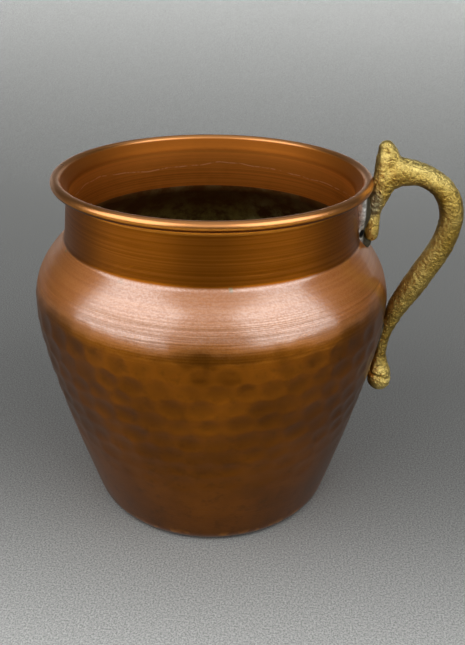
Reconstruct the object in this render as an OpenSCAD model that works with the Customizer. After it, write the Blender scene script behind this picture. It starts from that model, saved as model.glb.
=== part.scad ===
// Copper mug with a rolled rim, a tinned inside and a cast brass handle.
// Millimetres, +Z up. The origin is on the mug's axis, in the plane that it stands on.
// The handle is on the +X side.

/* [Body] */
// Thickness of the copper sheet
sheet = 0.8; // [0.6:0.1:1]
// Radius of the flat underside
foot_r = 31.1; // [29:0.1:33]
// Radius of the rounded edge between underside and wall
corner_r = 5.6; // [4:0.1:7]
// Outward lean of the wall just above the rounded edge, in degrees
wall_lean = 15.6; // [12:0.1:18]
// Largest radius of the belly
belly_r = 49.8; // [48:0.1:51]
// Height of the largest radius
belly_z = 64.6; // [62:0.1:66]

/* [Neck and rim] */
// Radius of the crease where the shoulder meets the neck
crease_r = 40.6; // [40:0.1:41.2]
// Height of that crease
crease_z = 82; // [81:0.1:83]
// Lean of the shoulder just below the crease, in degrees from upright
shoulder_lean = 43; // [38:1:48]
// Outer radius of the neck where it starts to flare
neck_top_r = 39.2; // [38.8:0.1:39.6]
// Height where the neck starts to flare
flare_z = 94.6; // [94:0.1:95]
// Outer radius of the rolled rim
rim_r = 43; // [42.6:0.1:43.4]
// Height of the middle of the rolled rim
rim_z = 97.5; // [97:0.1:98]
// Radius of the rolled rim's own section
bead_r = 1.35; // [1.2:0.05:1.5]

/* [Tin lining] */
// Thickness of the tin on the inside of the bowl
tin_t = 0.1; // [0.05:0.05:0.2]
// How far the tin reaches up the inside of the neck, above the crease
tin_rise = 1; // [0.9:0.1:4]

/* [Handle] */
// Half width of the handle's arm, across the grip
arm_half_w = 3.5; // [3:0.1:4]
// Half width of the lug that is soldered to the neck
lug_half_w = 3; // [2.6:0.1:3.4]
// Half thickness of the arm at its thickest, in the plane of the loop
arm_half_t = 3.3; // [3:0.1:3.5]
// Radius of the round end below the arm
end_r = 3.5; // [3.2:0.1:3.7]

/* [Solder] */
// Half width of the solder behind the lug
upper_half_w = 4.3; // [3.8:0.1:4.8]
// Half width of the solder behind the foot of the arm
lower_half_w = 2.2; // [1.9:0.1:2.6]

/* [Hidden] */
$fn = 96;

// Gap that keeps two soldered faces from cutting into each other
fit_gap = 0.02;
// Sides of the handle's cross-section, and steps between two stations
ring_sides = 20;
station_steps = 4;

copper = [0.55, 0.29, 0.16];
dull_tin = [0.36, 0.35, 0.27];
old_brass = [0.68, 0.53, 0.25];
grey_solder = [0.62, 0.62, 0.60];
steel = [0.50, 0.50, 0.50];

// ---- Cubic curves, each given as four [radius, height] points ----

function bez_point(c, t) =
    pow(1 - t, 3) * c[0] + 3 * pow(1 - t, 2) * t * c[1]
    + 3 * (1 - t) * t * t * c[2] + pow(t, 3) * c[3];
function bez_slope(c, t) =
    pow(1 - t, 2) * (c[1] - c[0]) + 2 * (1 - t) * t * (c[2] - c[1]) + t * t * (c[3] - c[2]);
function unit(v) = v / norm(v);
// Direction that points out of the sheet's outer face, for a curve that runs upwards
function outward(c, t) = let (s = unit(bez_slope(c, t))) [s[1], -s[0]];
// Points along a curve, moved along the outward direction by d
function bez_points(c, n, d) =
    [for (i = [0 : n]) bez_point(c, i / n) + d * outward(c, i / n)];
// A point that lies a given length from p, at an angle in degrees from upright
function lean(p, angle, length) = p + length * [sin(angle), cos(angle)];

// ---- The outer face of the sheet, from the underside up to the rim ----

// Half the length of the small round that joins shoulder and neck
crease_round = 0.8;
// Lean of the flare where it runs into the rolled rim
flare_lean = 28;
wire_r = bead_r - sheet;
bead_c = [rim_r - bead_r, rim_z];
neck_lean = atan((neck_top_r - crease_r) / (flare_z - crease_z));

corner_end = [foot_r + corner_r * cos(wall_lean), corner_r * (1 - sin(wall_lean))];
corner_pull = corner_r * 4 / 3 * tan((90 - wall_lean) / 4);
belly = [belly_r, belly_z];
crease = [crease_r, crease_z];
shoulder_end = lean(crease, -shoulder_lean, -crease_round);
neck_start = lean(crease, neck_lean, crease_round);
neck_end = [neck_top_r, flare_z];
// The flare's outer face ends on the wire, tangent to it
flare_end = bead_c + wire_r * [-cos(flare_lean), sin(flare_lean)];

corner_curve = [[foot_r, 0], [foot_r + corner_pull, 0],
                lean(corner_end, wall_lean, -corner_pull), corner_end];
wall_curve = [corner_end, lean(corner_end, wall_lean, 19), belly - [0, 14.6], belly];
shoulder_curve = [belly, belly + [0, 8.8], lean(shoulder_end, -shoulder_lean, -4), shoulder_end];
crease_curve = [shoulder_end, lean(shoulder_end, -shoulder_lean, crease_round / 2),
                lean(neck_start, neck_lean, -crease_round / 2), neck_start];
neck_curve = [neck_start, lean(neck_start, neck_lean, 3), lean(neck_end, neck_lean, -3), neck_end];
flare_curve = [neck_end, lean(neck_end, neck_lean, 0.8), lean(flare_end, flare_lean, -0.8), flare_end];

// The face that lies d outside the sheet's outer face, from the axis to the crease
function bowl_face(d) = concat(
    [[0, -d]],
    bez_points(corner_curve, 8, d),
    bez_points(wall_curve, 16, d),
    bez_points(shoulder_curve, 14, d));
function neck_face(d) = concat(
    bez_points(crease_curve, 4, d),
    bez_points(neck_curve, 2, d),
    bez_points(flare_curve, 8, d));
function sheet_face(d) = concat(bowl_face(d), neck_face(d));
// The tinned face stops a little way up the straight part of the neck
function tinned_face(d) = concat(
    bowl_face(d),
    bez_points(crease_curve, 4, d),
    [lean(crease, neck_lean, tin_rise) + d * outward(neck_curve, 0)]);
function backwards(list) = [for (i = [len(list) - 1 : -1 : 0]) list[i]];

// ---- The handle: [x, z, half thickness, half width] along two branches ----

function spline(a, b, c, d, t) =
    0.5 * (2 * b + (c - a) * t + (2 * a - 5 * b + 4 * c - d) * t * t
    + (3 * b - a - 3 * c + d) * pow(t, 3));
function along(s) = [
    for (i = [0 : len(s) - 2]) for (k = [0 : station_steps - 1])
        spline(s[max(i - 1, 0)], s[i], s[i + 1], s[min(i + 2, len(s) - 1)], k / station_steps),
    s[len(s) - 1]];
function place(p) = [p[0], p[1]];
// Direction of travel at ring i of a path
function heading(path, i) =
    unit(place(path[min(i + 1, len(path) - 1)]) - place(path[max(i - 1, 0)]));
function ring(c, dir, half_t, half_w) = [
    for (j = [0 : ring_sides - 1]) let (a = 360 * j / ring_sides)
        [c[0] + dir[1] * half_t * cos(a), half_w * sin(a), c[1] - dir[0] * half_t * cos(a)]];
// Rings that close one end with a dome: side is -1 at the start and 1 at the end
function dome(path, i, side, depth) =
    let (p = path[i], dir = heading(path, i), steps = [15, 30, 45, 60, 75, 87])
    [for (a = side > 0 ? steps : backwards(steps))
        ring(place(p) + side * depth * sin(a) * dir, dir, p[2] * cos(a), p[3] * cos(a))];

// Thumb lobe, lug and the lug's lower lobe, from top to bottom
lug_stations = [
    [45.5, 106.6, 2.1, 0.8 * lug_half_w],
    [46.1, 104.5, 3.0, lug_half_w],
    [46.1, 101.5, 3.1, 1.1 * lug_half_w],
    [45.7, 98.5, 2.8, 1.1 * lug_half_w],
    [45.0, 95.0, 3.1, lug_half_w],
    [43.5, 91.0, 2.8, 0.9 * lug_half_w],
    [43.7, 87.5, 1.9, 0.75 * lug_half_w],
    [43.8, 84.0, 1.95, 0.8 * lug_half_w],
    [43.9, 82.3, 1.7, 0.7 * lug_half_w]];
// The arm, from inside the lug round to the round end
arm_stations = [
    [45.5, 99.5, 3.6, 0.9 * arm_half_w],
    [48.5, 100.3, 4.0, 0.95 * arm_half_w],
    [52.0, 100.2, 3.5, arm_half_w],
    [56.0, 99.5, 3.0, arm_half_w],
    [59.9, 97.4, 2.9, arm_half_w],
    [62.9, 94.1, 3.1, arm_half_w],
    [64.5, 89.5, 3.15, arm_half_w],
    [64.2, 84.5, 3.1, arm_half_w],
    [62.8, 79.8, 3.2, arm_half_w],
    [60.4, 74.8, arm_half_t, arm_half_w],
    [57.9, 70.0, arm_half_t, arm_half_w],
    [55.4, 65.5, 3.2, 0.95 * arm_half_w],
    [53.4, 61.5, 2.85, 0.85 * arm_half_w],
    [51.8, 57.2, 2.3, 0.75 * arm_half_w],
    [50.7, 53.0, 1.85, 0.65 * arm_half_w],
    [50.1, 49.5, 1.7, 0.6 * arm_half_w],
    [49.8, 46.0, 1.75, 0.6 * arm_half_w],
    [49.9, 43.0, 2.4, 0.7 * end_r],
    [50.2, 40.0, 3.2, 0.92 * end_r],
    [50.3, 37.2, end_r, end_r]];

module swept(stations, start_depth, end_depth) {
    path = along(stations);
    last = len(path) - 1;
    rings = concat(
        dome(path, 0, -1, start_depth),
        [for (i = [0 : last]) ring(place(path[i]), heading(path, i), path[i][2], path[i][3])],
        dome(path, last, 1, end_depth));
    count = len(rings);
    sides = [
        for (i = [0 : count - 2]) for (j = [0 : ring_sides - 1])
            let (a = i * ring_sides + j, b = i * ring_sides + (j + 1) % ring_sides)
            each [[a, b + ring_sides, b], [a, a + ring_sides, b + ring_sides]]];
    first_cap = [for (j = [0 : ring_sides - 1]) j];
    last_cap = [for (j = [1 : ring_sides]) count * ring_sides - j];
    points = [for (r = rings) each r];
    polyhedron(points, concat([first_cap, last_cap], sides), convexity = 6);
}

// The whole mug without its handle, grown by the fit gap, to cut what is soldered to it
module mug_envelope() {
    rotate_extrude($fn = 180)
        polygon(concat(sheet_face(fit_gap), [[0, flare_end[1]]]));
    rotate_extrude($fn = 180)
        translate(bead_c) circle(bead_r + fit_gap, $fn = 48);
}

module handle_blank() {
    swept(lug_stations, 1.9, 1.5);
    swept(arm_stations, 0.5, end_r);
}

module body_shell() {
    color(copper) {
        rotate_extrude()
            polygon(concat(sheet_face(0), backwards(sheet_face(-sheet))));
        rotate_extrude()
            translate(bead_c) difference() {
                circle(bead_r, $fn = 48);
                circle(wire_r, $fn = 48);
            }
    }
}

module rim_wire() {
    color(steel) rotate_extrude() translate(bead_c) circle(wire_r, $fn = 48);
}

module tin_lining() {
    color(dull_tin) rotate_extrude()
        polygon(concat(tinned_face(-sheet), backwards(tinned_face(-sheet - tin_t))));
}

module handle() {
    color(old_brass) difference() {
        handle_blank();
        mug_envelope();
    }
}

module blob(centre, half_size) {
    translate(centre) resize(2 * half_size) sphere(3, $fn = 32);
}

// Solder that fills the gap between neck and lug, with a run down onto the shoulder
module upper_solder() {
    color(grey_solder) difference() {
        union() {
            blob([40.7, 0, 89.5], [2.6, upper_half_w, 5.6]);
            blob([40.4, 0, 84.6], [1.6, 0.85 * upper_half_w, 5]);
            blob([41.6, 0, 80.4], [2.4, 0.7 * upper_half_w, 1.9]);
        }
        handle_blank();
        mug_envelope();
    }
}

// Solder between the foot of the arm and the belly
module lower_solder() {
    color(grey_solder) difference() {
        translate([48.7, 0, 51.5]) rotate([0, 12, 0])
            blob([0, 0, 0], [1.2, lower_half_w, 7]);
        handle_blank();
        mug_envelope();
    }
}

body_shell();
rim_wire();
tin_lining();
handle();
upper_solder();
lower_solder();
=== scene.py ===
import math
import random

import bpy
import numpy as np
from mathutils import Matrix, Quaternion, Vector, noise


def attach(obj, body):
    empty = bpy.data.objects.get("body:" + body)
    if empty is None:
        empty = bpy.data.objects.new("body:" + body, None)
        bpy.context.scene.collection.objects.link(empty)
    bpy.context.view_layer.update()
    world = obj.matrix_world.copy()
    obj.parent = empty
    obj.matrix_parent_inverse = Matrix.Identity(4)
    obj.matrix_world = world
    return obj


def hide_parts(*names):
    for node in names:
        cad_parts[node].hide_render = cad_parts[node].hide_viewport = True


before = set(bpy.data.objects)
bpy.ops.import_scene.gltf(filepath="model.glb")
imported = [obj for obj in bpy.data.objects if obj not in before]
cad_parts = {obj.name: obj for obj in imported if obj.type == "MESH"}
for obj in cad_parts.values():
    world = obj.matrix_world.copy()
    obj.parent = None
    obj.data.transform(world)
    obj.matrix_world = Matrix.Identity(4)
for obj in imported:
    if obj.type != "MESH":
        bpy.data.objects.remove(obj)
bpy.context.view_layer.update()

mm = 0.001                                 # every size below is in millimetres times this


def deselectAll():
    if bpy.context.object and bpy.context.object.mode != "OBJECT":
        bpy.ops.object.mode_set(mode="OBJECT")
    bpy.ops.object.select_all(action="DESELECT")


def pick(piece):
    deselectAll()
    piece.select_set(True)
    bpy.context.view_layer.objects.active = piece


def applyModifier(piece, kind, **settings):
    pick(piece)
    modifier = piece.modifiers.new(kind.title(), kind)
    for name, value in settings.items():
        setattr(modifier, name, value)
    bpy.ops.object.modifier_apply(modifier=modifier.name)


def readPoints(piece):
    points = np.empty(len(piece.data.vertices) * 3, np.float64)
    piece.data.vertices.foreach_get("co", points)
    return points.reshape(-1, 3)


def writePoints(piece, points):
    piece.data.vertices.foreach_set("co", points.ravel())
    piece.data.update()


def readNormals(piece):
    normals = np.empty(len(piece.data.vertices) * 3, np.float64)
    piece.data.vertices.foreach_get("normal", normals)
    return normals.reshape(-1, 3)


def smoothStep(low, high, x):
    t = np.clip((np.asarray(x, float) - low) / (high - low), 0, 1)
    return t * t * (3 - 2 * t)


def noiseAt(points, size, octaves=3, shift=0.0):
    offset = Vector((shift, shift * 1.7, -shift))
    return np.array([noise.fractal(Vector(p) / size + offset, 1.0, 2.0, octaves) for p in points])


def keepValues(piece, name, values):
    # one number per vertex, which the piece's material reads
    layer = piece.data.attributes.new(name, "FLOAT", "POINT")
    layer.data.foreach_set("value", np.asarray(values, np.float32))


def pushAt(points, normals, touches):
    # sculpting: each touch is (centre, reach, amount) in millimetres; minus presses in
    for centre, reach, amount in touches:
        away = (points / mm - np.array(centre)) / np.array(reach)
        weight = np.exp(-1.6 * (away ** 2).sum(1))
        points += normals * (weight * amount * mm)[:, None]


def closeMesh(piece, distance=1e-6):
    pick(piece)
    bpy.ops.object.mode_set(mode="EDIT")
    bpy.ops.mesh.select_all(action="SELECT")
    bpy.ops.mesh.remove_doubles(threshold=distance)
    bpy.ops.mesh.normals_make_consistent(inside=False)
    bpy.ops.object.mode_set(mode="OBJECT")


def firstVertex(name, point):
    # a plane cut down to one vertex, the start of a drawn profile
    deselectAll()
    bpy.ops.mesh.primitive_plane_add(size=mm, location=(0, 0, 0))
    piece = bpy.context.object
    piece.name = name
    bpy.ops.object.mode_set(mode="EDIT")
    bpy.ops.mesh.select_all(action="SELECT")
    bpy.ops.mesh.merge(type="CENTER")
    bpy.ops.transform.translate(value=point)
    return piece


def spunPiece(name, profile, steps):
    # profile: (radius, height) points; it is drawn as an edge chain and spun round Z
    here = Vector((profile[0][0], 0, profile[0][1]))
    piece = firstVertex(name, here)
    for radius, height in profile[1:]:
        there = Vector((radius, 0, height))
        bpy.ops.mesh.extrude_region_move(TRANSFORM_OT_translate={"value": there - here})
        here = there
    bpy.ops.mesh.select_all(action="SELECT")
    bpy.ops.mesh.spin(steps=steps, angle=math.tau, center=(0, 0, 0), axis=(0, 0, 1))
    bpy.ops.object.mode_set(mode="OBJECT")
    closeMesh(piece)
    return piece


def capPoles(piece):
    # the small holes that a spun profile leaves on the axis
    pick(piece)
    bpy.ops.object.mode_set(mode="EDIT")
    bpy.ops.mesh.select_all(action="SELECT")
    bpy.ops.mesh.region_to_loop()
    bpy.ops.mesh.edge_face_add()
    bpy.ops.object.mode_set(mode="OBJECT")
    closeMesh(piece)


def countTriangles(piece):
    return sum(len(face.vertices) - 2 for face in piece.data.polygons)


body = {
    "sheet": 0.8, "footRadius": 31.1, "cornerRadius": 5.6, "wallLean": 15.6,
    "bellyRadius": 49.8, "bellyHeight": 64.6,
    "creaseRadius": 40.6, "creaseHeight": 82.0, "shoulderLean": 43.0, "creaseRound": 0.8,
    "neckTopRadius": 39.2, "flareHeight": 94.6, "flareLean": 28.0,
    "rimRadius": 43.0, "rimHeight": 97.5, "beadRadius": 1.35,
    # how far the curves' handles reach
    "wallPulls": (19, 14.6), "shoulderPulls": (8.8, 4), "neckPull": 3, "flarePull": 0.8,
    # the hand-hammered wall is never quite round
    "waver": 0.06, "waverTurns": 3, "waverFrom": (6, 30), "waverTo": (70, 80),
    "poleRadii": (0.2, 4, 10, 16, 22, 27), "innerPoleRadii": (22, 12, 0.2),
    "rollAngles": (212, 512), "rollPoints": 32,
    "outerSlack": 0.3, "smoothAngle": 40, "spinSteps": 380,
}


def lean(point, angle, length):
    a = math.radians(angle)
    return point + length * np.array([math.sin(a), math.cos(a)])


def bezPoint(c, t):
    return ((1 - t) ** 3 * c[0] + 3 * (1 - t) ** 2 * t * c[1]
            + 3 * (1 - t) * t * t * c[2] + t ** 3 * c[3])


def bezOutward(c, t):
    slope = ((1 - t) ** 2 * (c[1] - c[0]) + 2 * (1 - t) * t * (c[2] - c[1])
             + t * t * (c[3] - c[2]))
    slope = slope / np.linalg.norm(slope)
    return np.array([slope[1], -slope[0]])


def bezPoints(c, count, offset=0.0):
    return [bezPoint(c, i / count) + offset * bezOutward(c, i / count) for i in range(count + 1)]


def sheetCurves(b):
    corner = np.array([b["footRadius"] + b["cornerRadius"] * math.cos(math.radians(b["wallLean"])),
                       b["cornerRadius"] * (1 - math.sin(math.radians(b["wallLean"])))])
    pull = b["cornerRadius"] * 4 / 3 * math.tan(math.radians(90 - b["wallLean"]) / 4)
    belly = np.array([b["bellyRadius"], b["bellyHeight"]])
    crease = np.array([b["creaseRadius"], b["creaseHeight"]])
    neckLean = math.degrees(math.atan((b["neckTopRadius"] - b["creaseRadius"])
                                      / (b["flareHeight"] - b["creaseHeight"])))
    shoulderEnd = lean(crease, -b["shoulderLean"], -b["creaseRound"])
    neckStart = lean(crease, neckLean, b["creaseRound"])
    neckEnd = np.array([b["neckTopRadius"], b["flareHeight"]])
    bead = np.array([b["rimRadius"] - b["beadRadius"], b["rimHeight"]])
    f = math.radians(b["flareLean"])
    flareEnd = bead + (b["beadRadius"] - b["sheet"]) * np.array([-math.cos(f), math.sin(f)])
    foot = np.array([b["footRadius"], 0.0])
    return {
        "corner": [foot, foot + [pull, 0], lean(corner, b["wallLean"], -pull), corner],
        "wall": [corner, lean(corner, b["wallLean"], b["wallPulls"][0]),
                 belly - [0, b["wallPulls"][1]], belly],
        "shoulder": [belly, belly + [0, b["shoulderPulls"][0]],
                     lean(shoulderEnd, -b["shoulderLean"], -b["shoulderPulls"][1]), shoulderEnd],
        "crease": [shoulderEnd, lean(shoulderEnd, -b["shoulderLean"], b["creaseRound"] / 2),
                   lean(neckStart, neckLean, -b["creaseRound"] / 2), neckStart],
        "neck": [neckStart, lean(neckStart, neckLean, b["neckPull"]),
                 lean(neckEnd, neckLean, -b["neckPull"]), neckEnd],
        "flare": [neckEnd, lean(neckEnd, neckLean, b["flarePull"]),
                  lean(flareEnd, b["flareLean"], -b["flarePull"]), flareEnd],
        "bead": bead,
    }


curves = sheetCurves(body)

hammer = {
    "seed": 5, "lowest": 27.0, "highest": 69.5, "rowPitch": 5.3, "markPitch": 7.0,
    "halfWidth": 4.4, "halfHeight": 3.4, "depth": 0.42, "jitter": 0.9,
    "sizes": (0.8, 1.12), "depths": (0.5, 1.1), "cupShape": 1.2, "blend": 4,
    "fadeUp": (-6, 14), "least": 0.15,               # fainter low on the wall, from "lowest"
    "fadeTop": (64.5, 69.5), "topLoss": 0.75,        # and again under the shoulder
    "bellyFrom": 50, "bellyRadius": 49.0, "wallBase": (36.4, 4, 0.27),
}


def hammerMarks(h):
    dice = random.Random(h["seed"])
    marks = []
    height, row = h["lowest"], 0
    while height < h["highest"]:
        base, start, rise = h["wallBase"]
        onWall = height < h["bellyFrom"]
        radius = base + (height - start) * rise if onWall else h["bellyRadius"]
        count = round(math.tau * radius / h["markPitch"])
        for k in range(count):
            angle = math.tau * (k + 0.5 * (row % 2)) / count
            angle += dice.uniform(-1, 1) * h["jitter"] / radius
            z = height + dice.uniform(-1, 1) * h["jitter"] * 0.8
            size = dice.uniform(*h["sizes"])
            low, high = (h["lowest"] + reach for reach in h["fadeUp"])
            fade = float(smoothStep(low, high, z)) * (1 - h["least"]) + h["least"]
            top = 1 - h["topLoss"] * float(smoothStep(*h["fadeTop"], z))
            deep = h["depth"] * dice.uniform(*h["depths"]) * fade * top
            marks.append((angle, z, radius, size, deep))
        height += h["rowPitch"]
        row += 1
    return marks


def hammerDepth(points, h):
    # how far each point is pressed in; marks that overlap meet in a soft ridge
    angle = np.arctan2(points[:, 1], points[:, 0])
    z = points[:, 2] / mm
    depth = np.zeros(len(points))
    for markAngle, markZ, radius, size, deep in hammerMarks(h):
        near = np.abs(z - markZ) < h["halfHeight"] * size
        if not near.any():
            continue
        turn = (angle[near] - markAngle + math.pi) % math.tau - math.pi
        across = turn * radius / (h["halfWidth"] * size)
        up = (z[near] - markZ) / (h["halfHeight"] * size)
        cup = deep * np.clip(1 - across ** 2 - up ** 2, 0, 1) ** h["cupShape"]
        depth[near] = (depth[near] ** h["blend"] + cup ** h["blend"]) ** (1 / h["blend"])
    return depth * mm


def ringPoints(b, start, end, count):
    # points on the rolled rim, by angle in degrees in the section, counter-clockwise
    c = curves["bead"]
    return [c + b["beadRadius"] * np.array([math.cos(a), math.sin(a)])
            for a in np.radians(np.linspace(start, end, count))]


def bodyProfile(b):
    s = -b["sheet"]
    outside = [np.array([r, 0.0]) for r in b["poleRadii"]]
    outside += bezPoints(curves["corner"], 8)
    outside += bezPoints(curves["wall"], 90)[1:]
    outside += bezPoints(curves["shoulder"], 34)[1:]
    outside += bezPoints(curves["crease"], 5)[1:]
    outside += bezPoints(curves["neck"], 14)[1:]
    outside += bezPoints(curves["flare"], 12)[1:9]
    # the sheet's free edge lies against the flare, then the roll runs under, out and over
    roll = ringPoints(b, *b["rollAngles"], b["rollPoints"])
    inside = []
    for name, count in (("flare", 8), ("neck", 8), ("crease", 5), ("shoulder", 12),
                        ("wall", 22), ("corner", 6)):
        inside += list(reversed(bezPoints(curves[name], count, s)))[1:]
    inside += [np.array([r, b["sheet"]]) for r in b["innerPoleRadii"]]
    return [(float(r) * mm, float(z) * mm) for r, z in outside + roll + inside]


def makeBody():
    piece = spunPiece("copper_body", bodyProfile(body), body["spinSteps"])
    capPoles(piece)
    points = readPoints(piece)
    radius = np.hypot(points[:, 0], points[:, 1])
    outer = np.interp(points[:, 2] / mm, *outerRadius()) - body["outerSlack"]
    isOuter = radius / mm > outer
    press = hammerDepth(points, hammer) * isOuter
    angle = np.arctan2(points[:, 1], points[:, 0])
    height = points[:, 2] / mm
    waver = body["waver"] * mm * (1 + np.sin(body["waverTurns"] * angle + 0.7))
    waver *= smoothStep(*body["waverFrom"], height) * (1 - smoothStep(*body["waverTo"], height))
    normals = readNormals(piece)
    outwards = (normals[:, :2] * points[:, :2]).sum(1) / np.maximum(radius, 1e-6)
    inward = (press + waver) / np.maximum(radius, 1e-6)
    points[:, 0] *= 1 - inward
    points[:, 1] *= 1 - inward
    writePoints(piece, points)
    keepValues(piece, "press", press / (hammer["depth"] * mm))
    keepValues(piece, "inside", smoothStep(0.0, 0.5, -outwards))
    bpy.ops.object.shade_smooth_by_angle(angle=math.radians(body["smoothAngle"]))
    return piece


def outerRadius():
    line = bezPoints(curves["corner"], 8) + bezPoints(curves["wall"], 40)[1:]
    line += bezPoints(curves["shoulder"], 20)[1:]
    line += bezPoints(curves["neck"], 4)
    return [p[1] for p in line], [p[0] for p in line]


print("copper body")
copperBody = makeBody()
print("body triangles", countTriangles(copperBody))

lining = {
    "thickness": 0.1, "gap": 0.02, "spinSteps": 260, "markDepth": 0.6, "rise": 1.0,
    "poleRadii": (0.2, 8, 16, 24),
}


def makeLining():
    s = -body["sheet"] - lining["gap"]
    outside = [np.array([r, -s]) for r in lining["poleRadii"]]
    up = bezOutward(curves["neck"], 0)
    top = curves["neck"][0] + np.array([-up[1], up[0]]) * (lining["rise"] - body["creaseRound"])
    for name, count in (("corner", 8), ("wall", 60), ("shoulder", 24), ("crease", 4)):
        outside += bezPoints(curves[name], count, s)[(name != "corner"):]
    outside.append(top + s * up)
    s = -body["sheet"] - lining["thickness"]
    inside = [top + s * up]
    for name, count in (("crease", 4), ("shoulder", 24), ("wall", 60), ("corner", 8)):
        inside += list(reversed(bezPoints(curves[name], count, s)))[(name != "crease"):]
    inside += [np.array([r, -s]) for r in reversed(lining["poleRadii"])]
    profile = [(float(r) * mm, float(z) * mm) for r, z in outside + inside]
    piece = spunPiece("tin_layer", profile, lining["spinSteps"])
    capPoles(piece)
    points = readPoints(piece)
    radius = np.hypot(points[:, 0], points[:, 1])
    outer = np.interp(points[:, 2] / mm, *outerRadius())
    onInside = (outer - radius / mm) > lining["thickness"] / 2 + body["sheet"]
    push = hammerDepth(points, hammer) * lining["markDepth"] * onInside
    points[:, 0] *= 1 - push / np.maximum(radius, 1e-6)
    points[:, 1] *= 1 - push / np.maximum(radius, 1e-6)
    writePoints(piece, points)
    bpy.ops.object.shade_smooth_by_angle(angle=math.radians(body["smoothAngle"]))
    return piece


print("tin lining")
tinLayer = makeLining()

handle = {
    "sides": 28, "voxel": 0.30, "grain": 0.12, "lumps": 0.14,
    # x, z, half thickness, half width of each station, in millimetres
    "lug": [
        (45.5, 106.6, 2.1, 2.4), (46.1, 104.5, 3.0, 3.0), (46.1, 101.5, 3.1, 3.3),
        (45.7, 98.5, 2.8, 3.3), (45.0, 95.0, 3.1, 3.0), (43.5, 91.0, 2.8, 2.7),
        (43.5, 87.5, 2.2, 2.25), (43.5, 84.0, 2.3, 2.4), (43.6, 82.3, 2.0, 2.1)],
    "lugEnds": (1.9, 1.5),
    "arm": [
        (45.5, 99.5, 3.6, 3.15), (48.5, 100.3, 4.0, 3.3), (52.0, 100.2, 3.5, 3.5),
        (56.0, 99.5, 3.0, 3.5), (59.9, 97.4, 2.9, 3.5), (62.9, 94.1, 3.1, 3.5),
        (64.5, 89.5, 3.15, 3.5), (64.2, 84.5, 3.1, 3.5), (62.8, 79.8, 3.2, 3.5),
        (60.4, 74.8, 3.3, 3.5), (57.9, 70.0, 3.3, 3.5), (55.4, 65.5, 3.2, 3.3),
        (53.4, 61.5, 2.85, 3.0), (51.8, 57.2, 2.3, 2.6), (50.7, 53.0, 1.85, 2.3),
        (50.1, 49.5, 1.7, 2.1), (49.8, 46.0, 1.75, 2.1), (49.9, 43.0, 2.4, 2.45),
        (50.2, 40.0, 3.2, 3.2), (50.3, 37.2, 3.5, 3.5)],
    "armEnds": (0.5, 3.5),
    # sculpted on both faces: centre (y is the distance from the middle), reach, push
    "touches": [
        ((46.6, 3.2, 101.6), (1.6, 1.6, 2.6), -0.75), ((45.6, 3.0, 105.6), (0.9, 1.5, 1.2), -0.35),
        ((48.9, 2.6, 104.2), (1.0, 2.0, 1.6), 0.35), ((44.3, 2.6, 104.6), (0.7, 2.0, 2.0), 0.25),
        ((50.6, 2.4, 103.6), (1.1, 2.6, 0.8), -0.35), ((44.6, 2.8, 96.4), (1.2, 2.0, 1.6), -0.30),
        ((43.8, 2.4, 88.2), (1.5, 2.0, 0.8), -0.40), ((43.6, 2.4, 84.0), (1.0, 2.0, 1.8), 0.30),
        ((57.0, 3.2, 101.4), (4.0, 1.8, 0.8), 0.18), ((48.6, 1.2, 96.4), (1.8, 2.6, 1.8), 0.55),
        ((62.6, 3.2, 94.0), (1.2, 1.8, 2.6), -0.16)],
    "smear": ((43.0, 0, 92.0), (3.0, 1.0, 4.4)), "smearEdge": (0.5, 1.2),
    # the groove across the round end, a line on x that also sways with y
    "grooveHeight": 39.2, "grooveAt": 50.3, "grooveTilt": -0.28, "grooveSway": (0.35, 0.9),
    "grooveDepth": 0.60, "grooveWidth": 0.48, "grooveBelow": 41.5,
    # sizes of the lumps and of the grain, and where their noise starts
    "lumpNoise": (3.4, 2, 3.1), "grainNoise": (0.9, 3, 8.3), "smoothing": 6,
    # painted shade: faces that look at the mug and down, and the lower arm by x, by z below and by
    # z above
    "toMug": (-0.8, -0.6), "toMugEdge": (0.15, 0.85), "lowerArmShade": 0.52,
    "lowerArm": ((47.5, 49), (86, 97), (42, 47)),
    # lighter: upper faces as painted top light, and the round end below and the thumb lobe by z
    # and x
    "upperFaces": (-0.1, 0.7), "upperTilt": -0.3, "knobLighten": 0.45,
    "roundEnd": (41, 44), "thumbLobe": ((101, 104), (49, 51)),
}


def spline(a, b, c, d, t):
    return 0.5 * (2 * b + (c - a) * t + (2 * a - 5 * b + 4 * c - d) * t * t
                  + (3 * b - a - 3 * c + d) * t ** 3)


def alongStations(stations, steps=4):
    s = [np.array(p) for p in stations]
    path = []
    for i in range(len(s) - 1):
        around = s[max(i - 1, 0)], s[i], s[i + 1], s[min(i + 2, len(s) - 1)]
        path += [spline(*around, k / steps) for k in range(steps)]
    return path + [s[-1]]


def withDomes(path, startDepth, endDepth):
    # rings that round off both ends; each ring is (point, direction, half thickness, half width)
    count = len(path)
    ways = [path[min(i + 1, count - 1)][:2] - path[max(i - 1, 0)][:2] for i in range(count)]
    ways = [w / np.linalg.norm(w) for w in ways]
    rings = []
    for a in np.radians([86, 72, 54, 36, 18]):
        rings.append((path[0][:2] - startDepth * math.sin(a) * ways[0], ways[0],
                      path[0][2] * math.cos(a), path[0][3] * math.cos(a)))
    rings += [(p[:2], w, p[2], p[3]) for p, w in zip(path, ways)]
    for a in np.radians([18, 36, 54, 72, 86]):
        rings.append((path[-1][:2] + endDepth * math.sin(a) * ways[-1], ways[-1],
                      path[-1][2] * math.cos(a), path[-1][3] * math.cos(a)))
    return rings


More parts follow.
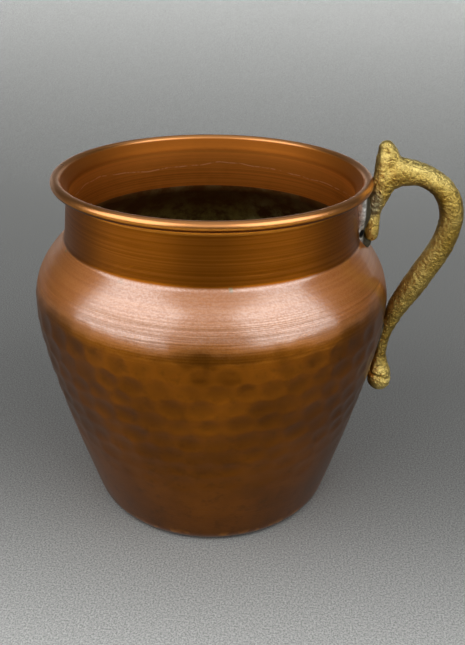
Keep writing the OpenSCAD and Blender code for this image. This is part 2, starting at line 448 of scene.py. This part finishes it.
def sweptBar(name, stations, ends, sides):
    rings = withDomes(alongStations(stations), *ends)
    point, way, thick, wide = rings[0]
    here = Vector((point[0], 0, point[1])) * mm
    deselectAll()
    bpy.ops.mesh.primitive_circle_add(vertices=sides, radius=mm, fill_type="NGON", location=here,
                                      rotation=(0, math.atan2(way[0], way[1]), 0))
    piece = bpy.context.object
    piece.name = name
    bpy.ops.object.transform_apply(location=True, rotation=True, scale=True)
    bpy.ops.object.mode_set(mode="EDIT")
    bpy.ops.mesh.select_all(action="SELECT")
    bpy.ops.transform.resize(value=(thick, wide, thick), center_override=here)
    for (point, nextWay, nextThick, nextWide) in rings[1:]:
        there = Vector((point[0], 0, point[1])) * mm
        bpy.ops.mesh.extrude_region_move(TRANSFORM_OT_translate={"value": there - here})
        turn = math.atan2(nextWay[0], nextWay[1]) - math.atan2(way[0], way[1])
        turn = (turn + math.pi) % math.tau - math.pi
        if abs(turn) > 1e-6:
            bpy.ops.transform.rotate(value=-turn, orient_axis="Y", orient_type="GLOBAL",
                                     center_override=there)
        bpy.ops.transform.resize(value=(nextThick / thick, nextWide / wide, nextThick / thick),
                                 center_override=there)
        here, way, thick, wide = there, nextWay, nextThick, nextWide
    bpy.ops.object.mode_set(mode="OBJECT")
    closeMesh(piece)
    return piece


def makeHandle(h):
    lug = sweptBar("handle_lug", h["lug"], h["lugEnds"], h["sides"])
    arm = sweptBar("cast_handle", h["arm"], h["armEnds"], h["sides"])
    deselectAll()
    lug.select_set(True)
    arm.select_set(True)
    bpy.context.view_layer.objects.active = arm
    bpy.ops.object.join()
    applyModifier(arm, "REMESH", mode="VOXEL", voxel_size=h["voxel"] * mm)
    applyModifier(arm, "SMOOTH", factor=0.5, iterations=h["smoothing"])
    points, normals = readPoints(arm), readNormals(arm)
    for side in (-1, 1):
        pushAt(points, normals, [((x, side * y, z), reach, push)
                                 for (x, y, z), reach, push in h["touches"]])
    sway, often = h["grooveSway"]
    line = h["grooveHeight"] + h["grooveTilt"] * (points[:, 0] / mm - h["grooveAt"])
    line += sway * np.sin(points[:, 1] / mm * often)
    across = (points[:, 2] / mm - line) / h["grooveWidth"]
    groove = h["grooveDepth"] * np.exp(-across ** 2) * (points[:, 2] / mm < h["grooveBelow"])
    points -= normals * (groove * mm)[:, None]
    writePoints(arm, points)
    normals = readNormals(arm)
    move = np.zeros(len(points))
    for deep, (size, octaves, shift) in ((h["lumps"], h["lumpNoise"]),
                                         (h["grain"], h["grainNoise"])):
        move += deep * noiseAt(points, size * mm, octaves, shift)
    points += normals * (move * mm)[:, None]
    writePoints(arm, points)
    keepWearAndPaintedLight(arm, points, normals, h)
    pick(arm)
    bpy.ops.object.shade_smooth()
    return arm


def keepWearAndPaintedLight(arm, points, normals, h):
    x, z = points[:, 0] / mm, points[:, 2] / mm
    # faces that look at the mug and down, and the lower arm, get painted shade
    toMug = normals[:, 0] * h["toMug"][0] + normals[:, 2] * h["toMug"][1]
    outside, below, above = h["lowerArm"]
    lowerArm = smoothStep(*outside, x) * (1 - smoothStep(*below, z)) * smoothStep(*above, z)
    keepValues(arm, "arch_shade", np.maximum(smoothStep(*h["toMugEdge"], toMug),
                                         h["lowerArmShade"] * lowerArm))
    # painted top light: upper faces lighter, and the round end and thumb lobe lighter as well
    above, inside = h["thumbLobe"]
    knobs = np.maximum(1 - smoothStep(*h["roundEnd"], z),
                       smoothStep(*above, z) * (1 - smoothStep(*inside, x)))
    upper = smoothStep(*h["upperFaces"], normals[:, 2] + h["upperTilt"] * normals[:, 0])
    keepValues(arm, "top_light_and_knobs", np.minimum(upper + h["knobLighten"] * knobs, 1))
    # where the solder ran over the lug's sides
    centre, reach = h["smear"]
    away = np.linalg.norm((points / mm * (1, 0, 1) - centre) / reach, axis=1)
    keepValues(arm, "smear", 1 - smoothStep(*h["smearEdge"], away))


print("handle")
castHandle = makeHandle(handle)
print("handle triangles", countTriangles(castHandle))

solder = {
    "voxel": 0.22, "lumps": 0.14, "sink": 0.3,
    "blobs": [((40.7, 0, 89.5), (2.6, 4.3, 5.6)), ((40.4, 0, 84.6), (1.6, 3.65, 5.0)),
              ((41.6, 0, 80.4), (2.4, 3.0, 1.9))],
    "touches": [((41.2, -3.2, 83.6), (0.7, 1.4, 1.2), -1.4),
                ((41.6, -3.0, 87.6), (0.5, 1.0, 2.4), -0.4),
                ((42.2, -2.4, 81.4), (0.9, 1.0, 0.5), 0.3)],
    "lumpNoise": (1.6, 3, 4.4), "smoothing": 10, "sphere": (40, 24),
    "hole": ((41.2, -2.8, 83.6), 1.25), "holeEdge": (0.7, 1.3),
    # painted shade in the crevice along the lug, and darker low down where it ran onto the
    # shoulder
    "crevice": (41.0, 41.9), "creviceShade": 0.8, "runDown": (81.0, 83.0), "runDownDark": 0.55,
}


def makeSolder(s):
    parts = []
    for centre, half in s["blobs"]:
        deselectAll()
        segments, rings = s["sphere"]
        bpy.ops.mesh.primitive_uv_sphere_add(segments=segments, ring_count=rings, radius=mm,
                                             location=Vector(centre) * mm)
        bpy.context.object.scale = half
        bpy.ops.object.transform_apply(location=True, rotation=True, scale=True)
        parts.append(bpy.context.object)
    deselectAll()
    for part in parts:
        part.select_set(True)
    bpy.context.view_layer.objects.active = parts[0]
    bpy.ops.object.join()
    piece = parts[0]
    piece.name = "lug_solder"
    applyModifier(piece, "REMESH", mode="VOXEL", voxel_size=s["voxel"] * mm)
    applyModifier(piece, "SMOOTH", factor=0.5, iterations=s["smoothing"])
    points, normals = readPoints(piece), readNormals(piece)
    pushAt(points, normals, s["touches"])
    size, octaves, shift = s["lumpNoise"]
    points += normals * (s["lumps"] * noiseAt(points, size * mm, octaves, shift) * mm)[:, None]
    # what lies behind the sheet's outer face stays inside the sheet
    radius = np.hypot(points[:, 0], points[:, 1])
    least = (np.interp(points[:, 2] / mm, *outerRadius()) - s["sink"]) * mm
    points[:, :2] *= (np.maximum(radius, least) / radius)[:, None]
    writePoints(piece, points)
    # painted shade: black in the hole and dark in the crevice along the lug; darker low down
    centre, reach = s["hole"]
    away = np.linalg.norm(points / mm - np.array(centre), axis=1)
    soot = 1 - smoothStep(*(reach * edge for edge in s["holeEdge"]), away)
    crevice = s["creviceShade"] * smoothStep(*s["crevice"], points[:, 0] / mm)
    runDown = s["runDownDark"] * (1 - smoothStep(*s["runDown"], points[:, 2] / mm))
    keepValues(piece, "soot", np.maximum(soot, np.maximum(crevice, runDown)))
    pick(piece)
    bpy.ops.object.shade_smooth()
    return piece


print("solder")
lugSolder = makeSolder(solder)

class Sock:
    # a node's output in an expression: + - * and / add Math nodes
    def __init__(self, paint, link):
        self.paint, self.link = paint, link

    def math(self, operation, *others):
        return self.paint.node("ShaderNodeMath", {"operation": operation},
                               dict(enumerate((self,) + others)))

    def __add__(self, other):
        return self.math("ADD", other)

    def __sub__(self, other):
        return self.math("SUBTRACT", other)

    def __mul__(self, other):
        return self.math("MULTIPLY", other)

    def __truediv__(self, other):
        return self.math("DIVIDE", other)

    def __rsub__(self, other):
        return self.paint.node("ShaderNodeMath", {"operation": "SUBTRACT"}, {0: other, 1: self})

    __radd__ = __add__
    __rmul__ = __mul__

    def clamp(self):
        return self.paint.node("ShaderNodeClamp", {}, {0: self})

    def between(self, low, high):
        # 0 below low, 1 above high, smooth in between
        return self.paint.node("ShaderNodeMapRange", {"interpolation_type": "SMOOTHSTEP"},
                               {0: self, 1: low, 2: high, 3: 0.0, 4: 1.0})


class Paint:
    def __init__(self, name):
        self.material = bpy.data.materials.new(name)
        self.material.use_nodes = True
        self.tree = self.material.node_tree
        self.shader = self.tree.nodes["Principled BSDF"]
        place = self.tree.nodes.new("ShaderNodeTexCoord")
        self.place = Sock(self, place.outputs["Object"])
        split = self.node("ShaderNodeSeparateXYZ", {}, {0: self.place}, whole=True)
        self.x, self.y, self.z = (Sock(self, split.outputs[i]) for i in range(3))

    def put(self, socket, value):
        if isinstance(value, Sock):
            self.tree.links.new(value.link, socket)
        elif isinstance(value, tuple) and len(value) == 3 and len(socket.default_value) == 4:
            socket.default_value = (*value, 1.0)               # a colour without its alpha
        else:
            socket.default_value = value

    def node(self, kind, settings=None, sockets=None, output=0, whole=False):
        made = self.tree.nodes.new(kind)
        for name, value in (settings or {}).items():
            setattr(made, name, value)
        for name, value in (sockets or {}).items():
            self.put(made.inputs[name], value)
        return made if whole else Sock(self, made.outputs[output])

    def vector(self, x, y, z):
        return self.node("ShaderNodeCombineXYZ", {}, {0: x, 1: y, 2: z})

    def noise(self, scale, detail=3.0, rough=0.55, vector=None, distortion=0.0):
        return self.node("ShaderNodeTexNoise", {}, {
            "Vector": vector or self.place, "Scale": scale, "Detail": detail,
            "Roughness": rough, "Distortion": distortion})

    def value(self, name):
        return self.node("ShaderNodeAttribute", {"attribute_name": name}, {}, output=2)

    def mix(self, factor, a, b, blend="MIX"):
        return self.node("ShaderNodeMix", {"data_type": "RGBA", "blend_type": blend},
                         {0: factor, 6: a, 7: b}, output=2)

    def bump(self, height, distance, strength=1.0, under=None):
        sockets = {"Height": height, "Distance": distance, "Strength": strength}
        if under:
            sockets["Normal"] = under
        return self.node("ShaderNodeBump", {}, sockets)

    def finish(self, piece, **sockets):
        for name, value in sockets.items():
            self.put(self.shader.inputs[name.replace("_", " ")], value)
        piece.data.materials.clear()
        piece.data.materials.append(self.material)
        return self.material


copperLook = {
    "brown": (0.205, 0.064, 0.005), "warm": (0.330, 0.102, 0.007), "dark": (0.095, 0.032, 0.004),
    "lathed": (0.500, 0.155, 0.010), "peach": (0.640, 0.240, 0.036),
    "neckDark": (0.280, 0.080, 0.004), "neckLight": (0.450, 0.143, 0.016),
    "inside": (0.64, 0.21, 0.028), "insideDark": (0.38, 0.115, 0.012),
    "insideTop": (0.80, 0.29, 0.045), "flare": (0.27, 0.080, 0.009),
    "rim": (0.80, 0.29, 0.035), "rimUnder": (0.10, 0.032, 0.004), "orange": (0.85, 0.34, 0.04),
    "scratch": (0.95, 0.52, 0.26), "verdigris": (0.10, 0.20, 0.10),
}

# heights in millimetres between which each finish, painted light and painted shade comes in
copperPlaces = {
    "neck": (81.6, 82.3), "rim": (95.5, 95.9), "rimTop": (97.75, 98.15), "rimSide": (96.75, 97.45),
    "underLine": (94.25, 94.65), "underLineEnd": (95.1, 95.4), "lathed": (69.0, 77.5),
    "shoulder": (71.5, 75.5), "bandEnd": (73.0, 79.0), "insideTop": (86.0, 94.0),
    "flare": (93.6, 95.0), "footEdge": (0.1, 0.7), "footEdgeEnd": (2.5, 5.5),
    "crease": (80.9, 81.5), "creaseEnd": (82.0, 82.5), "rimShine": (97.3, 98.0),
}

# how much of each wear, painted light and painted shade is mixed in
copperWearAndLight = {
    "mottle": 0.35, "clouds": 0.40, "press": 0.34, "band": 0.6, "neckClouds": 0.22,
    "insideTop": 0.5, "scratch": 0.5, "flare": 0.85, "underLine": 0.6, "rim": 0.95,
    "footEdge": 0.55, "verdigris": 0.5, "scratchHeight": 86.7, "scratchDrift": 7.0,
}


def copperMasks(p, patches, fineLines):
    # where each finish lies, by height
    at = copperPlaces
    height = p.z / mm
    inside = p.value("inside") * (1 - height.between(*at["rimTop"]))
    outside = 1 - inside
    onNeck = height.between(*at["neck"])
    onRim = height.between(*at["rim"]) * outside
    underRim = onRim * (1 - height.between(*at["rimSide"]))
    underLine = height.between(*at["underLine"]) * (1 - height.between(*at["underLineEnd"]))
    underLine = underLine * outside
    lathed = (height + fineLines * 3 + patches * 5).between(*at["lathed"])
    lathed = lathed * (1 - onNeck) * outside
    onShoulder = (height + fineLines * 2 + patches * 5).between(*at["shoulder"])
    onShoulder = onShoulder * (1 - onNeck) * outside
    onBand = onShoulder * (1 - height.between(*at["bandEnd"]))
    footEdge = height.between(*at["footEdge"]) * (1 - height.between(*at["footEdgeEnd"])) * outside
    crease = height.between(*at["crease"]) * (1 - height.between(*at["creaseEnd"])) * outside
    return (height, inside, onNeck, onRim, underRim, underLine, lathed, onShoulder, onBand,
            footEdge, crease)


def paintCopper(piece):
    p = Paint("worn_copper")
    look, at, wear = copperLook, copperPlaces, copperWearAndLight
    # lathe lines run round the mug: noise squeezed along Z
    lines = p.noise(1.0, 2.0, 0.5, p.vector(p.x * 30, p.y * 30, p.z * 5200))
    fineLines = p.noise(1.0, 2.0, 0.5, p.vector(p.x * 14, p.y * 14, p.z * 2600))
    slowLines = p.noise(1.0, 3.0, 0.55, p.vector(p.x * 9, p.y * 9, p.z * 1200))
    patches = p.noise(60.0, 4.0, 0.6)
    clouds = p.noise(24.0, 3.0, 0.5, distortion=0.4)
    mottle = p.noise(330.0, 3.0, 0.6)
    specks = p.noise(2200.0, 2.0, 0.6)
    press = p.value("press")
    (height, inside, onNeck, onRim, underRim, underLine, lathed, onShoulder, onBand,
     footEdge, crease) = copperMasks(p, patches, fineLines)
    # belly: brown patina, darker in the hammer marks
    base = p.mix(patches.between(0.30, 0.72), look["brown"], look["warm"])
    base = p.mix(mottle.between(0.5, 0.72) * wear["mottle"], base, look["dark"])
    base = p.mix(clouds.between(0.46, 0.75) * wear["clouds"], base, look["dark"])
    base = p.mix(press.between(0.15, 0.9) * wear["press"], base, look["dark"])
    # shoulder: lathed bright, with a sandy wear
    worn = p.mix((specks.between(0.38, 0.62) * 0.6 + fineLines.between(0.4, 0.6) * 0.4).clamp(),
                 look["lathed"], look["peach"])
    bandLines = (lines.between(0.44, 0.58) * 0.7 + fineLines.between(0.46, 0.60) * 0.3).clamp()
    worn = p.mix(onBand * bandLines * wear["band"], worn, look["brown"])
    base = p.mix(lathed, base, worn)
    # neck: fine turning lines
    neck = p.mix(fineLines.between(0.35, 0.65) * 0.5 + slowLines.between(0.4, 0.6) * 0.2,
                 look["neckDark"], look["neckLight"])
    neck = p.mix(clouds.between(0.4, 0.7) * wear["neckClouds"], neck, look["dark"])
    base = p.mix(onNeck, base, neck)
    # inside of the neck
    lit = p.mix((fineLines.between(0.3, 0.7) * 0.6 + patches.between(0.4, 0.7) * 0.4).clamp(),
                look["inside"], look["insideDark"])
    # painted light: the inside wall lighter towards the top of the neck
    lit = p.mix(height.between(*at["insideTop"]) * wear["insideTop"], lit, look["insideTop"])
    # one light scratch wanders round the inside of the neck
    drift = p.noise(1.0, 2.0, 0.5, p.vector(p.x * 45, p.y * 45, 0.0))
    off = (height - wear["scratchHeight"] - drift * wear["scratchDrift"]).math("ABSOLUTE")
    scratch = (1 - off.between(0.05, 0.26)) * mottle.between(0.36, 0.56)
    lit = p.mix(scratch * wear["scratch"], lit, look["scratch"])
    # painted shade: the inside of the flare darker
    lit = p.mix(height.between(*at["flare"]) * wear["flare"], lit, look["flare"])
    base = p.mix(inside, base, lit)
    # rim, with painted shade under the roll and a painted reflection as a bright line on the neck
    # below it
    # painted reflection: a bright orange line on the neck just below the roll
    base = p.mix(underLine * slowLines.between(0.2, 0.5) * wear["underLine"], base, look["orange"])
    base = p.mix(onRim * wear["rim"], base, look["rim"])
    # painted shade: the underside of the roll darker
    base = p.mix(underRim * wear["rim"], base, look["rimUnder"])
    # worn orange spots on the bottom edge, and a trace of green in the crease
    spots = p.noise(230.0, 2.0, 0.5).between(0.50, 0.62)
    base = p.mix(footEdge * spots * wear["footEdge"], base, look["orange"])
    green = p.noise(150.0, 2.0, 0.6).between(0.67, 0.73)
    base = p.mix(crease * green * wear["verdigris"], base, look["verdigris"])
    rough = 0.27 + 0.10 * patches + onShoulder * 0.32 + inside * 0.24
    rough = rough + onNeck * 0.05 - onRim * 0.08
    normal = p.bump(lines * 0.4 + fineLines * 0.6, 0.00006, 0.4)
    normal = p.bump(specks, 0.00008, 0.4, normal)
    # the white gloss of the worn shoulder and of the rim
    shine = onShoulder * (0.60 + 0.34 * specks.between(0.35, 0.65))
    shine = shine * (1 - onBand * bandLines * wear["band"])
    rimShine = onRim * height.between(*at["rimShine"]) * 0.35
    p.finish(piece, Base_Color=base, Roughness=rough, Metallic=1.0, Normal=normal,
             Coat_Weight=(shine + rimShine).clamp(), Coat_Roughness=0.24, Coat_IOR=3.1)


print("copper finish")
paintCopper(copperBody)

brassLook = {
    "bright": (1.00, 0.78, 0.26), "plain": (0.48, 0.31, 0.055), "dark": (0.10, 0.062, 0.012),
    "grey": (0.26, 0.25, 0.17),
    "patchShare": 0.4, "topLightShare": 0.6, "grainDark": 0.38, "pitDark": 0.35, "archShade": 0.85,
    "smear": 0.8, "grainHeight": 0.0009,
}


def paintBrass(piece):
    p = Paint("cast_brass")
    look = brassLook
    grain = p.noise(1150.0, 3.0, 0.6)
    pits = p.noise(600.0, 2.0, 0.5)
    patches = p.noise(200.0, 3.0, 0.6)
    top_light_and_knobs = p.value("top_light_and_knobs")
    # random polish patches, plus the painted top light on upper faces
    polishAndTopLight = patches.between(0.35, 0.7) * look["patchShare"] + top_light_and_knobs * look["topLightShare"]
    base = p.mix(polishAndTopLight.clamp(), look["plain"], look["bright"])
    base = p.mix((1 - grain.between(0.30, 0.50)) * look["grainDark"], base, look["dark"])
    base = p.mix((1 - pits.between(0.26, 0.38)) * look["pitDark"], base, look["dark"])
    # painted shade on the inner side of the arch and along the lower arm
    arch_shade = p.value("arch_shade")
    base = p.mix(arch_shade * look["archShade"], base, look["dark"])
    smear = p.value("smear") * patches.between(0.3, 0.55)
    base = p.mix(smear * look["smear"], base, look["grey"])
    normal = p.bump(grain, look["grainHeight"], 0.9)
    p.finish(piece, Base_Color=base, Roughness=0.23 + 0.12 * grain + 0.22 * arch_shade, Metallic=1.0,
             Normal=normal)


paintBrass(castHandle)

tinLook = {
    "brown": (0.200, 0.070, 0.014), "dark": (0.090, 0.036, 0.009), "olive": (0.36, 0.30, 0.08),
    "grey": (0.85, 0.80, 0.38), "bareFrom": (66.0, 80.0), "bare": 0.85, "greyShare": 0.75,
}


def paintTin(piece):
    p = Paint("tarnished_tin")
    look = tinLook
    spots = p.noise(160.0, 5.0, 0.68)
    patches = p.noise(50.0, 3.0, 0.5)
    fine = p.noise(700.0, 3.0, 0.6)
    base = p.mix(spots.between(0.36, 0.68), look["dark"], look["olive"])
    dull = patches.between(0.40, 0.62) * spots.between(0.42, 0.66)
    base = p.mix(dull * look["greyShare"], base, look["grey"])
    base = p.mix(fine.between(0.5, 0.7) * 0.4, base, look["dark"])
    # near the top the tin has worn off the copper
    top = (p.z / mm).between(*look["bareFrom"])
    base = p.mix(top * look["bare"], base, look["brown"])
    p.finish(piece, Base_Color=base, Roughness=0.38 + 0.25 * spots, Metallic=0.85)


paintTin(tinLayer)


# the strip at the lug is bare and holed, with painted shade in the hole; the one behind the arm is
# painted dark as shade
solderLook = {
    "dull_solder": ((0.26, 0.25, 0.22), (0.74, 0.73, 0.70)),
    "shaded_solder": ((0.05, 0.04, 0.025), (0.12, 0.10, 0.06)),
    "soot": (0.07, 0.06, 0.035), "hole": (0.004, 0.004, 0.004),
}


def paintSolder(piece, finish, holed=False):
    p = Paint(finish)
    lumps = p.noise(500.0, 3.0, 0.6)
    base = p.mix(lumps.between(0.35, 0.65), *solderLook[finish])
    rough = 0.42 + 0.2 * lumps
    if holed:
        # painted shade: darker in the crevice and low down, black in the hole
        base = p.mix(p.value("soot").between(0.0, 0.8), base, solderLook["soot"])
        base = p.mix(p.value("soot").between(0.8, 1.0), base, solderLook["hole"])
        rough = rough + p.value("soot") * 0.5
    p.finish(piece, Base_Color=base, Roughness=rough, Metallic=0.6,
             Normal=p.bump(lumps, 0.0002, 0.6))


paintSolder(lugSolder, "dull_solder", holed=True)


def paintWire(piece):
    p = Paint("iron_wire")
    streaks = p.noise(900.0, 2.0, 0.5)
    base = p.mix(streaks, (0.2, 0.19, 0.18), (0.4, 0.39, 0.37))
    p.finish(piece, Base_Color=base, Roughness=0.5, Metallic=1.0)


# painted shade: the solder between the body and the arm
paintSolder(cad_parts["lower_solder"], "shaded_solder")
paintWire(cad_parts["rim_wire"])

studio = {
    "floorColor": (0.180, 0.183, 0.178), "worldColor": (0.55, 0.56, 0.57), "worldStrength": 0.10,
    "floorDepth": 0.30, "floorFront": -0.9, "sweepRadius": 0.55, "wallHeight": 1.0, "width": 3.2,
    "sweepTurns": 24, "tooth": 0.38,
}


def makeFloor(s):
    # one sheet of paper: flat under the mug, then rolled up into a wall behind it
    deselectAll()
    bpy.ops.mesh.primitive_plane_add(size=1.0, location=(0, 0, 0))
    floor = bpy.context.object
    floor.name = "paper_floor"
    floor.scale = (s["width"], s["floorDepth"] - s["floorFront"], 1)
    floor.location = (0, (s["floorDepth"] + s["floorFront"]) / 2, 0)
    bpy.ops.object.transform_apply(location=True, rotation=True, scale=True)
    bpy.ops.object.mode_set(mode="EDIT")
    bpy.ops.mesh.select_mode(type="EDGE")
    bpy.ops.mesh.select_all(action="DESELECT")
    bpy.ops.object.mode_set(mode="OBJECT")
    for edge in floor.data.edges:
        ends = [floor.data.vertices[v].co.y for v in edge.vertices]
        edge.select = min(ends) > s["floorDepth"] - 0.01
    bpy.ops.object.mode_set(mode="EDIT")
    turns = s["sweepTurns"]
    for k in range(turns):
        a = math.pi / 2 * (k + 0.5) / turns
        step = s["sweepRadius"] * math.pi / 2 / turns
        bpy.ops.mesh.extrude_region_move(
            TRANSFORM_OT_translate={"value": (0, step * math.cos(a), step * math.sin(a))})
    bpy.ops.mesh.extrude_region_move(TRANSFORM_OT_translate={"value": (0, 0, s["wallHeight"])})
    bpy.ops.mesh.select_all(action="SELECT")
    bpy.ops.mesh.normals_make_consistent(inside=False)
    bpy.ops.object.mode_set(mode="OBJECT")
    bpy.ops.object.shade_smooth()
    p = Paint("pale_paper")
    tooth = p.noise(2100.0, 2.0, 0.7)
    base = p.mix(tooth.between(0.3, 0.7), tuple(c * (1 - s["tooth"]) for c in s["floorColor"]),
                 tuple(c * (1 + s["tooth"]) for c in s["floorColor"]))
    p.finish(floor, Base_Color=base, Roughness=0.85, Metallic=0.0,
             Normal=p.bump(tooth, 0.0002, 0.5))


# a light for the paper only isn't mirrored in the metal
lights = {
    "left_box": {"place": (-0.63, -0.50, 0.62), "target": (0, 0, 0.50), "size": (1.0, 1.05),
                 "power": 7.1},
    "right_box": {"place": (0.67, -0.44, 0.64), "target": (0, 0, 0.52), "size": (0.9, 1.0),
                  "power": 6.4},
    "middle_box": {"place": (0.05, -0.85, 0.70), "target": (0, 0, 0.20), "size": (0.8, 0.9),
                   "power": 1.7},
    "top_box": {"place": (0, 0.05, 1.0), "target": (0, 0.05, 0), "size": (1.2, 1.2), "power": 1.8},
    "floor_light": {"place": (0, -0.22, 0.26), "target": (0, -0.135, 0), "size": (1.0, 0.05),
                    "power": 1.25, "mirrored": False, "spread": 45},
    "wall_light": {"place": (0, 0.60, 0.29), "target": (0, 0.60, 0), "size": (1.4, 0.05),
                   "power": 4.0, "mirrored": False},
}


def softLight(name, place, target, size, power, mirrored=True, spread=180):
    lamp = bpy.data.lights.new(name, "AREA")
    lamp.shape = "RECTANGLE"
    lamp.size, lamp.size_y = size
    lamp.energy = power
    lamp.spread = math.radians(spread)
    holder = bpy.data.objects.new(name, lamp)
    bpy.context.scene.collection.objects.link(holder)
    holder.location = place
    holder.rotation_euler = (Vector(target) - Vector(place)).to_track_quat("-Z", "Y").to_euler()
    holder.visible_glossy = mirrored
    return holder


def makeWorld():
    world = bpy.data.worlds.new("studio_air")
    world.use_nodes = True
    sky = world.node_tree.nodes["Background"]
    sky.inputs["Color"].default_value = (*studio["worldColor"], 1)
    sky.inputs["Strength"].default_value = studio["worldStrength"]
    bpy.context.scene.world = world


view = {
    "distance": 198.9, "height": 153.6, "turn": 7.0, "pan": 0.0298, "tilt": 0.4692, "roll": 0.014,
    "focal": 750.0, "longSide": 645.0,
}


def makeCamera(v):
    turn = math.radians(v["turn"])
    lens = bpy.data.cameras.new("view")
    lens.sensor_width = 36.0
    lens.lens = v["focal"] * 36.0 / v["longSide"]
    camera = bpy.data.objects.new("view", lens)
    bpy.context.scene.collection.objects.link(camera)
    camera.location = Vector((v["distance"] * math.sin(turn), -v["distance"] * math.cos(turn),
                              v["height"])) * mm
    pan = v["pan"] - turn
    way = Vector((math.sin(pan) * math.cos(v["tilt"]), math.cos(pan) * math.cos(v["tilt"]),
                  -math.sin(v["tilt"])))
    aim = way.to_track_quat("-Z", "Y") @ Quaternion((0, 0, 1), v["roll"])
    camera.rotation_euler = aim.to_euler()
    bpy.context.scene.camera = camera


print("studio")
makeFloor(studio)
makeWorld()
for name, settings in lights.items():
    softLight(name, **settings)
makeCamera(view)
bpy.context.scene.view_settings.view_transform = "Standard"

for piece, node, slot in ((copperBody, "body_shell", "copper"), (tinLayer, "tin_lining", "tin"),
                          (castHandle, "handle", "cast_brass"),
                          (lugSolder, "upper_solder", "solder")):
    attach(piece, "root")
    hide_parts(node)
